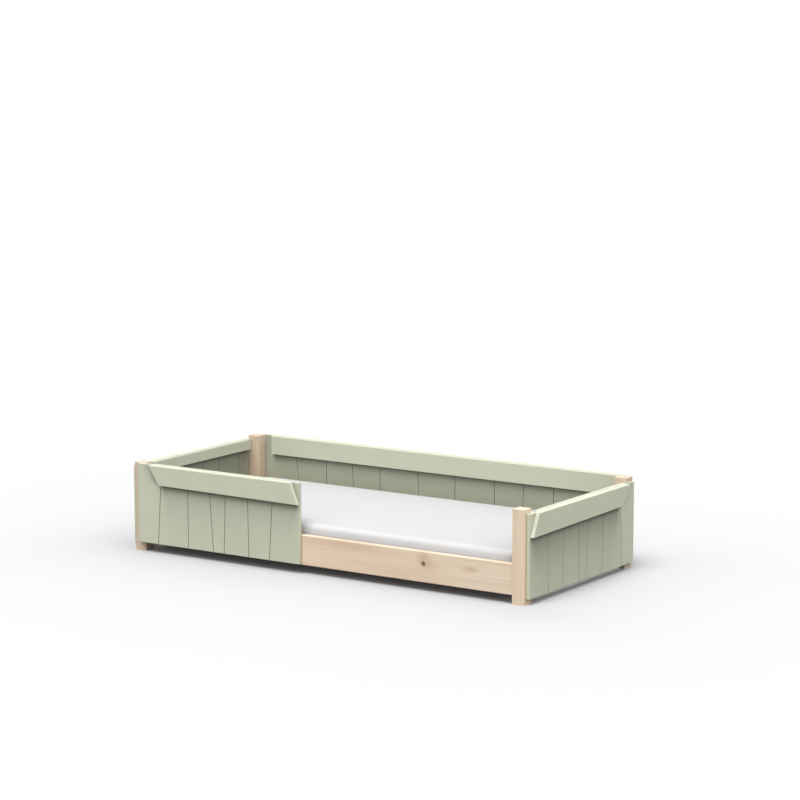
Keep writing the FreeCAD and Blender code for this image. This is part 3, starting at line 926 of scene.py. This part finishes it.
# ---------------------------------------------------------------- timber
@dataclass
class TimberFrame:
    """The bare timber: posts, rails, cleats and slats.

    Attributes:
        nodes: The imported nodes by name.
        rail_pith: How far behind a rail's face the log's middle lay, in metres.
        pith_heights: How high it lay in the front rail, the back rail and the end rails.
        post_pith: How far beside a post's left and back faces it lay.
    """

    nodes: Nodes
    rail_pith: float = 0.085
    pith_heights: tuple[float, float, float] = (0.052, 0.140, 0.150)
    post_pith: tuple[float, float] = (0.045, 0.060)

    FRONT_KNOTS: ClassVar[tuple[Knot, ...]] = (
        Knot(0.5503, 0.1252, 0.0118, 1.0, 1.05, 0.45),
        Knot(0.5540, 0.1540, 0.0260, 0.20, 1.2, 0.85),
        Knot(0.5900, 0.1180, 0.0200, 0.14, 1.8, 0.85),
        Knot(0.7920, 0.1290, 0.0120, 0.26, 3.2, 0.75),
        Knot(0.1500, 0.1650, 0.0220, 0.16, 7.0, 0.90),
        Knot(-0.560, 0.110, 0.0060, 0.9, 1.3),
    )
    BACK_KNOTS: ClassVar[tuple[Knot, ...]] = (
        Knot(-0.420, 0.085, 0.006, 0.9),
        Knot(0.660, 0.140, 0.004, 0.7),
    )
    END_KNOTS: ClassVar[tuple[Knot, ...]] = (Knot(0.18, 0.10, 0.005, 0.8),)
    POST_KNOTS: ClassVar[dict[str, Knot]] = {
        "post_front_right": Knot(0.412, 1.022, 0.004, 0.25, 1.6),
        "post_front_left": Knot(0.130, -1.036, 0.004, 0.5, 1.5),
        "post_back_left": Knot(0.130, -1.030, 0.004, 0.5, 1.5),
        "post_back_right": Knot(0.250, 1.036, 0.005, 0.6, 1.5),
    }
    # Painted shade: the back and left posts' wood is darker, each a share of the front right post's
    # colour.
    POST_SHADE_TONES: ClassVar[dict[str, float]] = {
        "post_front_right": 1.0,
        "post_front_left": 0.83,
        "post_back_left": 0.69,
        "post_back_right": 0.77,
    }

    def dress_rails(self) -> None:
        """Each rail gets its own board. The front one has the knots that the photograph shows."""
        front_height, back_height, end_height = self.pith_heights
        front = (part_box("front_rail")[0].y + self.rail_pith, front_height)
        back = (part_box("back_rail")[1].y - self.rail_pith, back_height)
        along = Grain.ALONG_X
        boards = {
            "front_rail": Pine("pine_front_rail", along, front, knots=self.FRONT_KNOTS, seed=0.31),
            "back_rail": Pine("pine_back_rail", along, back, knots=self.BACK_KNOTS, seed=1.70),
        }
        for name, seed in (("left_rail", 2.6), ("right_rail", 3.9)):
            low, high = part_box(name)
            middle = (low.x + high.x) / 2
            pith = (middle - math.copysign(self.rail_pith, middle), end_height)
            knots = self.END_KNOTS
            boards[name] = Pine("pine_" + name, Grain.ALONG_Y, pith, knots=knots, seed=seed)
        for name, board in boards.items():
            dress(self.nodes, (name,), board.material())

    def dress_posts(self) -> None:
        """Each post is cut beside the pith, so that its top shows arcs of rings."""
        for number, (name, knot) in enumerate(self.POST_KNOTS.items()):
            low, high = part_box(name)
            # Painted shade: this post's wood colours are darkened by its share.
            tone = self.POST_SHADE_TONES[name]
            wood = Pine(
                "pine_" + name,
                Grain.ALONG_Z,
                pith=(low.x - self.post_pith[0], high.y + self.post_pith[1]),
                across_axis=0,
                knots=(knot,),
                early=tuple(c * tone for c in Pine.early),
                late=tuple(c * tone for c in Pine.late),
                seed=5.0 + 1.3 * number,
            )
            dress(self.nodes, (name,), wood.material())

    def dress_base(self) -> None:
        """Slats, cleats and dowels are plainer, yellower wood, and the tapes are woven."""
        slats = Pine(
            "pine_slats",
            Grain.ALONG_Y,
            pith=(0.4, 0.020),
            early=(0.74, 0.565, 0.375),
            late=(0.60, 0.41, 0.24),
            ring=0.0035,
            seed=9.0,
        )
        cleats = Pine(
            "pine_cleats", Grain.ALONG_X, pith=(0.30, -0.05), late=(0.62, 0.44, 0.28), seed=12.0
        )
        beech = Pine(
            "beech_dowels",
            Grain.ALONG_Y,
            pith=(0.9, 0.3),
            early=(0.62, 0.42, 0.26),
            late=(0.52, 0.33, 0.19),
            seed=15.0,
        )
        names = sorted(name for name in self.nodes if name.startswith("slat_"))
        dress(self.nodes, names, slats.material())
        dress(self.nodes, ("front_cleat", "back_cleat"), cleats.material())
        dress(self.nodes, ("end_rail_dowels", "panel_dowels"), beech.material())
        dress(self.nodes, ("front_slat_tape", "back_slat_tape"), Webbing("webbing").material())


# ---------------------------------------------------------------- painted boards
@dataclass
class PaintedBoards:
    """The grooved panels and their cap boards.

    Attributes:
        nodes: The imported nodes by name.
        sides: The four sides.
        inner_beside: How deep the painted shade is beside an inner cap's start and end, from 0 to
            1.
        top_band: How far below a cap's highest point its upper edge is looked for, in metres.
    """

    nodes: Nodes
    sides: tuple[Side, ...] = (
        Side("front", 1, -1, (0.110, 0.38), (0.85, 0.5), 0.30, 0.17, 0.0),
        Side("back", 1, 1, (0.110, 0.38), (0.4, 0.4), 0.38, 0.17, 2.7),
        Side("left", 0, -1, (0.140, 0.62), (0.4, 0.4), 0.52, 0.28, 5.4),
        Side("right", 0, 1, (0.140, 0.62), (0.1, 0.85), 0.30, 0.17, 8.1),
    )
    inner_beside: tuple[float, float] = (0.2, 0.2)
    top_band: float = 0.003

    def corners(self, name: str, along: int) -> list[Sequence[float]]:
        """A cap's corners: the lowest point of each half of its mesh, and the ends of its top.

        Args:
            name: The cap board.
            along: The axis that it runs along.

        Returns:
            The lower start and end and the upper ones, each a place on that axis and a height.
        """
        points = points_of(self.nodes[name].data)[:, (along, 2)]
        place, height = points.T
        middle = (place.min() + place.max()) / 2
        halves = points[place < middle], points[place >= middle]
        top = points[height > height.max() - self.top_band]
        found = [half[half[:, 1].argmin()] for half in halves]
        found += [top[top[:, 0].argmin()], top[top[:, 0].argmax()]]
        return [tuple(map(float, corner)) for corner in found]

    def shelters(self, side: Side) -> tuple[Shelter, ...]:
        """Where a side's two cap boards are.

        Args:
            side: The side.

        Returns:
            The outer and the inner cap's shelter.
        """
        along = 1 - side.across
        outer = self.corners(side.name + "_outer_cap", along)
        inner = self.corners(side.name + "_inner_cap", along)
        return (
            Shelter(1, *outer, 0.0, side.beside),
            Shelter(-1, *inner, side.inner_shade, self.inner_beside),
        )

    def dress(self) -> None:
        """Each board gets the paint of its side, with its own painted shade."""
        for side in self.sides:
            for kind in ("panel", "outer_cap", "inner_cap"):
                name = side.name + "_" + kind
                low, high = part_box(name)
                caps = self.shelters(side) if kind == "panel" else ()
                tone = side.inner_cap_shade if kind == "inner_cap" else 0.0
                paint = SagePaint("sage_paint_" + name, tone)
                dress(self.nodes, (name,), paint.material(PaintedBoard(side, low, high, caps)))


# ---------------------------------------------------------------- fixings
@dataclass(frozen=True)
class Screw:
    """A countersunk screw with a cross recess.

    Attributes:
        head: The radius of its head, in metres.
        shank: The radius of its shank.
        taper: The depth of its countersunk head.
        rim: The height of the head's upright rim.
        proud: How far its head stands above the face, so that the two don't lie in one plane.
        recess: The half width, half length and depth of its cross recess.
        slope: How wide the sloping edge of the recess is, in its half widths.
        hub: The radius of the smallest ring of its head.
        rings: How many rings its head has.
        turns: How many points go round it.
        point: The radius and the height above its end of each ring of its point.
    """

    head: float = 0.0040
    shank: float = 0.0020
    taper: float = 0.0026
    rim: float = 0.0002
    proud: float = 0.00012
    recess: tuple[float, float, float] = (0.00055, 0.0021, 0.0013)
    slope: float = 0.4
    hub: float = 0.00015
    rings: int = 12
    turns: int = 32
    point: tuple[tuple[float, float], ...] = (
        (0.00188, 0.004), (0.0010, 0.0012), (0.00005, 0.0),
    )

    def surface(self, length: float) -> tuple[np.ndarray, np.ndarray]:
        """The screw's points on a polar grid, pointing down the third axis from its head.

        The head is a disc that falls by the recess's depth where either arm of the cross is,
        with a smooth edge, and the rest is a profile turned round the axis.

        Args:
            length: The screw's length.

        Returns:
            The points, and the quads that join ring to ring.
        """
        face = np.linspace(self.hub, self.head, self.rings)
        side = [(self.head, self.proud - self.rim), (self.shank, -self.taper)]
        side = np.array(side + [(radius, rise - length) for radius, rise in self.point])
        radius = np.concatenate([face, side[:, 0]])
        height = np.concatenate([np.full(len(face), self.proud), side[:, 1]])
        turn = np.linspace(0.0, 2.0 * math.pi, self.turns, endpoint=False)
        ring, angle = np.meshgrid(radius, turn, indexing="ij")
        u, v = ring * np.cos(angle), ring * np.sin(angle)
        half, reach, depth = self.recess
        arms = [
            np.clip((half - np.abs(a)) / (self.slope * half) + 0.5, 0, 1)
            * np.clip((reach - np.abs(b)) / half, 0, 1)
            for a, b in ((u, v), (v, u))
        ]
        fall = np.maximum(*arms) * depth
        fall[len(face) - 2:] = 0.0
        points = np.stack([u, v, height[:, None] - fall], axis=-1).reshape(-1, 3)
        return points, ring_quads(len(radius), self.turns, (0, 3, 2, 1))


@dataclass
class Fixings:
    """The steel that holds the bed together.

    Attributes:
        nodes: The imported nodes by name.
        solid_points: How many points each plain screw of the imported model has.
        pattern: The screw that takes the plain ones' place.
        end_band: How far from a plain screw's end a point still counts as the end's, in metres.
    """

    nodes: Nodes
    solid_points: int = 60
    pattern: Screw = Screw()
    end_band: float = 1e-4

    def seated(self, solid: np.ndarray) -> tuple[np.ndarray, np.ndarray]:
        """A turned screw in the place of a plain one.

        The long side of the plain one's box gives the axis and length, and the wider end the head.

        Args:
            solid: The plain screw's points.

        Returns:
            The turned screw's points and quads.
        """
        low, high = solid.min(axis=0), solid.max(axis=0)
        axis = int((high - low).argmax())
        middle = (low + high) / 2
        away = np.abs(np.delete(solid - middle, axis, axis=1)).max(axis=1)
        level = solid[:, axis]
        upper = away[level > high[axis] - self.end_band].max()
        lower = away[level < low[axis] + self.end_band].max()
        out = 1.0 if upper > lower else -1.0
        flat, quads = self.pattern.surface(float(high[axis] - low[axis]))
        turned = np.empty_like(flat)
        turned[:, [(axis + 1) % 3, (axis + 2) % 3, axis]] = flat * [1.0, out, out]
        middle[axis] = high[axis] if upper > lower else low[axis]
        return turned + middle, quads

    def row(self, name: str, steel: bpy.types.Material) -> None:
        """Puts a turned screw in the place of each plain one of a node.

        Args:
            name: The node.
            steel: The material.
        """
        solids = points_of(self.nodes[name].data).reshape(-1, self.solid_points, 3)
        placed, quads = zip(*(self.seated(solid) for solid in solids))
        joined = [part + number * len(placed[0]) for number, part in enumerate(quads)]
        mesh = bpy.data.meshes.new(name + "_turned")
        mesh.from_pydata(np.concatenate(placed).tolist(), [], np.concatenate(joined).tolist())
        mesh.materials.append(steel)
        piece = new_object(mesh)
        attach(piece, "frame")
        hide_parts(name)
        LOG.info("turned %d screws for %s", len(solids), name)

    def dress(self) -> None:
        """Plates and screws are zinc plated."""
        steel = ZincSteel("zinc_steel").material()
        for name in sorted(self.nodes):
            if name.endswith("_screws"):
                self.row(name, steel)
        dress(self.nodes, ("rail_hook_plates", "post_receiver_plates"), steel)


# ---------------------------------------------------------------- mattress
@dataclass
class Mattress:
    """A foam mattress in a knitted cover, blown up by a cloth simulation.

    Attributes:
        edge_radius: The radius of its top and bottom edges, in metres.
        corner_radius: The radius of its corners in plan.
        crown: How much its top rises towards the middle.
        draw_in: How far its sides pull in between the corners.
        skin: How much smaller the form starts than the space it fills.
        voxel: The size of the cells that it is remeshed with.
        smoothing: How often the remeshed form is smoothed.
        pressure: The pressure that swells it.
        cloth_mass: The mass of each point of the cloth.
        cloth_quality: How many steps the simulation takes in each frame.
        frames: The length of the simulation.
        largest_move: How far a point may move.
        arc_steps: How many points a corner has in plan.
        side_steps: How many points a side has between its corners.
        edge_steps: How many rings an edge has, and the top too.
        under_shares: How far in from the sides the rings of the underside lie.
        top_share: How far in the last ring of the top lies.
        low: The lowest corner of the space that it fills.
        high: The highest corner of that space.
    """

    edge_radius: float = 0.026
    corner_radius: float = 0.070
    crown: float = 0.004
    draw_in: float = 0.003
    skin: float = 0.0022
    voxel: float = 0.014
    smoothing: int = 4
    pressure: float = 4.0
    cloth_mass: float = 0.4
    cloth_quality: int = 5
    frames: int = 20
    largest_move: float = 0.0012
    arc_steps: int = 10
    side_steps: int = 40
    edge_steps: int = 9
    under_shares: tuple[float, ...] = (0.85, 0.45, 0.15)
    top_share: float = 0.92
    low: Vector = field(init=False)
    high: Vector = field(init=False)

    STILL: ClassVar[float] = 1e-9  # a point that moves less than this hasn't moved, in metres

    def __post_init__(self) -> None:
        """Reads the space that the mattress fills."""
        self.low, self.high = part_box("mattress")

    def outline(self, inset: float) -> np.ndarray:
        """A rounded rectangle whose sides bow inwards as a parabola between the corners.

        Args:
            inset: How far it lies inside the largest outline.

        Returns:
            The x and y of its points, anticlockwise.
        """
        size = self.high - self.low
        half = np.array([size.x, size.y]) / 2 - self.skin - inset
        radius = max(self.corner_radius - inset, 0.25 * self.corner_radius)
        turn = np.linspace(0.0, math.pi / 2, self.arc_steps)
        share = np.linspace(0.0, 1.0, self.side_steps + 2)[1:-1]
        dip = self.draw_in * 4.0 * share * (1.0 - share)
        rows = []
        for quarter in range(4):
            angle = quarter * math.pi / 2
            cos, sin = round(math.cos(angle)), round(math.sin(angle))
            long_way, wide_way = (half if quarter % 2 == 0 else half[::-1])
            arc = radius * np.cos(turn), radius * np.sin(turn)
            corner = np.stack([long_way - radius + arc[0], wide_way - radius + arc[1]])
            side = np.stack([(long_way - radius) * (1.0 - 2.0 * share), wide_way - dip])
            u, v = np.concatenate([corner, side], axis=1)
            rows.append(np.stack([cos * u - sin * v, sin * u + cos * v], axis=1))
        return np.concatenate(rows)

    def profile(self) -> np.ndarray:
        """Insets and heights from the middle of the underside round to the middle of the top.

        The edges are quarter circles, and the top rises as a parabola.

        Returns:
            One row for each outline.
        """
        radius = self.edge_radius
        bottom = self.low.z + self.skin
        shoulder = self.high.z - self.skin - self.crown
        half_width = (self.high.y - self.low.y) / 2 - self.skin
        turn = np.linspace(0.0, math.pi / 2, self.edge_steps)
        falling, rising = radius * (1 - np.sin(turn)), radius * (1 - np.cos(turn))
        under = [(half_width * share, bottom) for share in self.under_shares]
        lower = np.stack([falling, bottom + rising], axis=1)
        upper = np.stack([rising, shoulder - falling], axis=1)
        share = np.linspace(0.0, self.top_share, self.edge_steps)[1:]
        inset = radius + share * (half_width - radius)
        over = np.stack([inset, shoulder + self.crown * (1 - (1 - share) ** 2)], axis=1)
        return np.concatenate([under, lower, upper, over])

    def shell(self) -> bpy.types.Mesh:
        """The closed form: a ring of points for each outline, joined by quads, and two end faces.

        Returns:
            The mesh.
        """
        rings = []
        for inset, height in self.profile():
            flat = self.outline(inset)
            rings.append(np.column_stack([flat, np.full(len(flat), height)]))
        count = len(rings[0])
        points = np.concatenate(rings)
        points[:, :2] += [(self.low.x + self.high.x) / 2, (self.low.y + self.high.y) / 2]
        last = (len(rings) - 1) * count
        faces = ring_quads(len(rings), count, (0, 1, 2, 3)).tolist()
        faces += [list(range(count - 1, -1, -1)), list(range(last, last + count))]
        mesh = bpy.data.meshes.new("mattress_cover")
        mesh.from_pydata(points.tolist(), [], faces)
        return mesh

    def simulate(self, piece: bpy.types.Object) -> None:
        """Swells the cover with cloth under pressure, and caps how far each point moves.

        Args:
            piece: The remeshed cover.
        """
        before = points_of(piece.data)
        cloth = piece.modifiers.new("Cloth", "CLOTH").settings
        cloth.use_pressure = True
        cloth.uniform_pressure_force = self.pressure
        cloth.effector_weights.gravity = 0.0
        cloth.quality = self.cloth_quality
        cloth.mass = self.cloth_mass
        scene = bpy.context.scene
        for frame in range(1, self.frames + 1):
            scene.frame_set(frame)
        apply_modifiers(piece)
        scene.frame_set(1)
        move = points_of(piece.data) - before
        length = np.linalg.norm(move, axis=1, keepdims=True)
        share = self.largest_move / np.maximum(length, self.STILL)
        placed = before + move * np.minimum(1.0, share)
        placed[:, 2] = np.maximum(placed[:, 2], self.low.z)
        piece.data.vertices.foreach_set("co", placed.ravel())
        piece.data.update()

    def build(self) -> bpy.types.Object:
        """Makes, swells and dresses the mattress.

        Returns:
            The finished piece.
        """
        piece = new_object(self.shell())
        remesh = piece.modifiers.new("Remesh", "REMESH")
        remesh.mode = "VOXEL"
        remesh.voxel_size = self.voxel
        apply_modifiers(piece)
        piece.modifiers.new("Smooth", "SMOOTH").iterations = self.smoothing
        apply_modifiers(piece)
        self.simulate(piece)
        finer = piece.modifiers.new("Subdivision", "SUBSURF")
        finer.levels = finer.render_levels = 1
        piece.data.polygons.foreach_set("use_smooth", np.ones(len(piece.data.polygons), bool))
        piece.data.materials.append(KnittedCover("knitted_cover", top=self.high.z).material())
        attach(piece, "mattress")
        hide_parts("mattress")
        LOG.info("built mattress_cover with %d points", len(piece.data.vertices))
        return piece


# ---------------------------------------------------------------- studio
@dataclass(frozen=True)
class Lamp:
    """A broad, even light from far off.

    Attributes:
        name: The lamp's name.
        towards: The way from the bed to the lamp.
        spread: The angle that the lamp spans, in degrees.
        strength: Its irradiance, in watts for each square metre.
    """

    name: str
    towards: tuple[float, float, float]
    spread: float
    strength: float

    def build(self) -> None:
        """Hangs the lamp."""
        light = bpy.data.lights.new(self.name, "SUN")
        light.angle = math.radians(self.spread)
        light.energy = self.strength
        turn = Vector(self.towards).to_track_quat("Z", "Y")
        new_object(light).rotation_euler = turn.to_euler()


@dataclass(frozen=True)
class Studio:
    """A pale floor, soft light from overhead and the photograph's camera.

    Attributes:
        floor_size: The width of the floor, in metres.
        floor_grey: The floor's own colour.
        floor_bounce: The grey that the floor shows to everything but the camera.
        world_light: The strength of the light from all round.
        stand: Half the length and width of the place where the bed stands.
        fade: How far past that place the floor is two thirds of the way to white.
        shadow_lift: The white share that the floor has under the bed, painted light that lifts its
            shadow there.
        camera_place: Where the camera stands.
        turn: The camera's turn to the left, in degrees.
        tilt: The camera's tilt downwards, in degrees.
        lens: The lens, in millimetres.
        sensor: The width of the camera's sensor, in millimetres.
        sight: How far the camera sees, in metres.
        lamps: A steep light from over the front edge, and weaker ones in front, right and behind.
    """

    floor_size: float = 120.0
    floor_grey: Colour = (0.585, 0.588, 0.594)
    floor_bounce: float = 0.20
    world_light: float = 0.40
    stand: tuple[float, float] = (1.1, 0.5)
    fade: float = 0.52
    shadow_lift: float = 0.018
    camera_place: tuple[float, float, float] = (7.03697, -10.45481, 2.71817)
    turn: float = 33.52
    tilt: float = 8.91
    lens: float = 124.60
    sensor: float = 36.0
    sight: float = 500.0
    lamps: tuple[Lamp, ...] = (
        Lamp("overhead", (0.0, -0.50, 1.0), 30.0, 1.85),
        Lamp("front", (0.0, -1.0, 0.9), 60.0, 0.75),
        Lamp("right", (1.0, -0.1, 0.85), 50.0, 1.3),
        Lamp("behind", (-0.4, 1.0, 0.7), 60.0, 0.8),
    )

    WHITE: ClassVar[Colour] = (1.0, 1.0, 1.0)

    def floor(self) -> None:
        """A flat floor that keeps its shadows and, for the camera only, fades to white away from
        the bed.

        The grey's share is one minus the shadow lift, times e to the power of minus the distance
        from the bed over the fade. So the floor is darker close to the bed, a painted soft shade
        round it, and the shadow lift is painted light that lightens the shadow under the bed.
        """
        half = self.floor_size / 2
        mesh = bpy.data.meshes.new("floor")
        corners = [(-half, -half, 0), (half, -half, 0), (half, half, 0), (-half, half, 0)]
        mesh.from_pydata(corners, [], [(0, 1, 2, 3)])
        floor = new_object(mesh)
        graph = Graph("studio_floor")
        x, y, _ = graph.split(graph.coordinates())
        beside, before = (
            (place.math("ABSOLUTE") - reach).math("MAXIMUM", 0.0)
            for place, reach in zip((x, y), self.stand)
        )
        # Painted shade and light: grey close to the bed fading to white, and the shadow lift under
        # it.
        far = 1.0 - beside.hypot(before).fading(self.fade) * (1.0 - self.shadow_lift)
        camera = graph.node("ShaderNodeLightPath", output="Is Camera Ray")
        grey = graph.mix(camera, (self.floor_bounce,) * 3, self.floor_grey)
        near = graph.node("ShaderNodeBsdfDiffuse", None, {"Color": grey})
        white = graph.node("ShaderNodeEmission", None, {"Color": self.WHITE, "Strength": 1.0})
        share = {0: camera * far, 1: near, 2: white}
        graph.show(graph.node("ShaderNodeMixShader", None, share))
        floor.data.materials.append(graph.owner)

    def world(self) -> None:
        """An even white world, at full white where the camera sees it."""
        world = bpy.data.worlds.new("studio")
        bpy.context.scene.world = world
        graph = Graph("studio", world)
        camera = graph.node("ShaderNodeLightPath", output="Is Camera Ray")
        dim, bright = (
            graph.node("ShaderNodeBackground", None, {"Color": self.WHITE, "Strength": strength})
            for strength in (self.world_light, 1.0)
        )
        graph.show(graph.node("ShaderNodeMixShader", None, {0: camera, 1: dim, 2: bright}))

    def camera(self) -> None:
        """The camera of the photograph, found from the bed's own corners."""
        camera = bpy.data.cameras.new("camera")
        camera.lens = self.lens
        camera.sensor_width = self.sensor
        camera.clip_end = self.sight
        made = new_object(camera)
        made.location = self.camera_place
        made.rotation_euler = (math.radians(90.0 - self.tilt), 0.0, math.radians(self.turn))
        bpy.context.scene.camera = made

    def build(self) -> None:
        """Sets up the whole studio."""
        self.floor()
        self.world()
        for lamp in self.lamps:
            lamp.build()
        self.camera()
        bpy.context.scene.view_settings.view_transform = "Standard"
        LOG.info("set up the studio")


def main() -> None:
    """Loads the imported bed, dresses it and builds what stands for its soft parts."""
    logging.basicConfig(level=logging.INFO, format="%(name)s: %(message)s")
    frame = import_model()
    nodes = frame["nodes"]
    timber = TimberFrame(nodes)
    timber.dress_rails()
    timber.dress_posts()
    timber.dress_base()
    PaintedBoards(nodes).dress()
    Fixings(nodes).dress()
    Mattress().build()
    Studio().build()


if __name__ == "__main__":
    main()
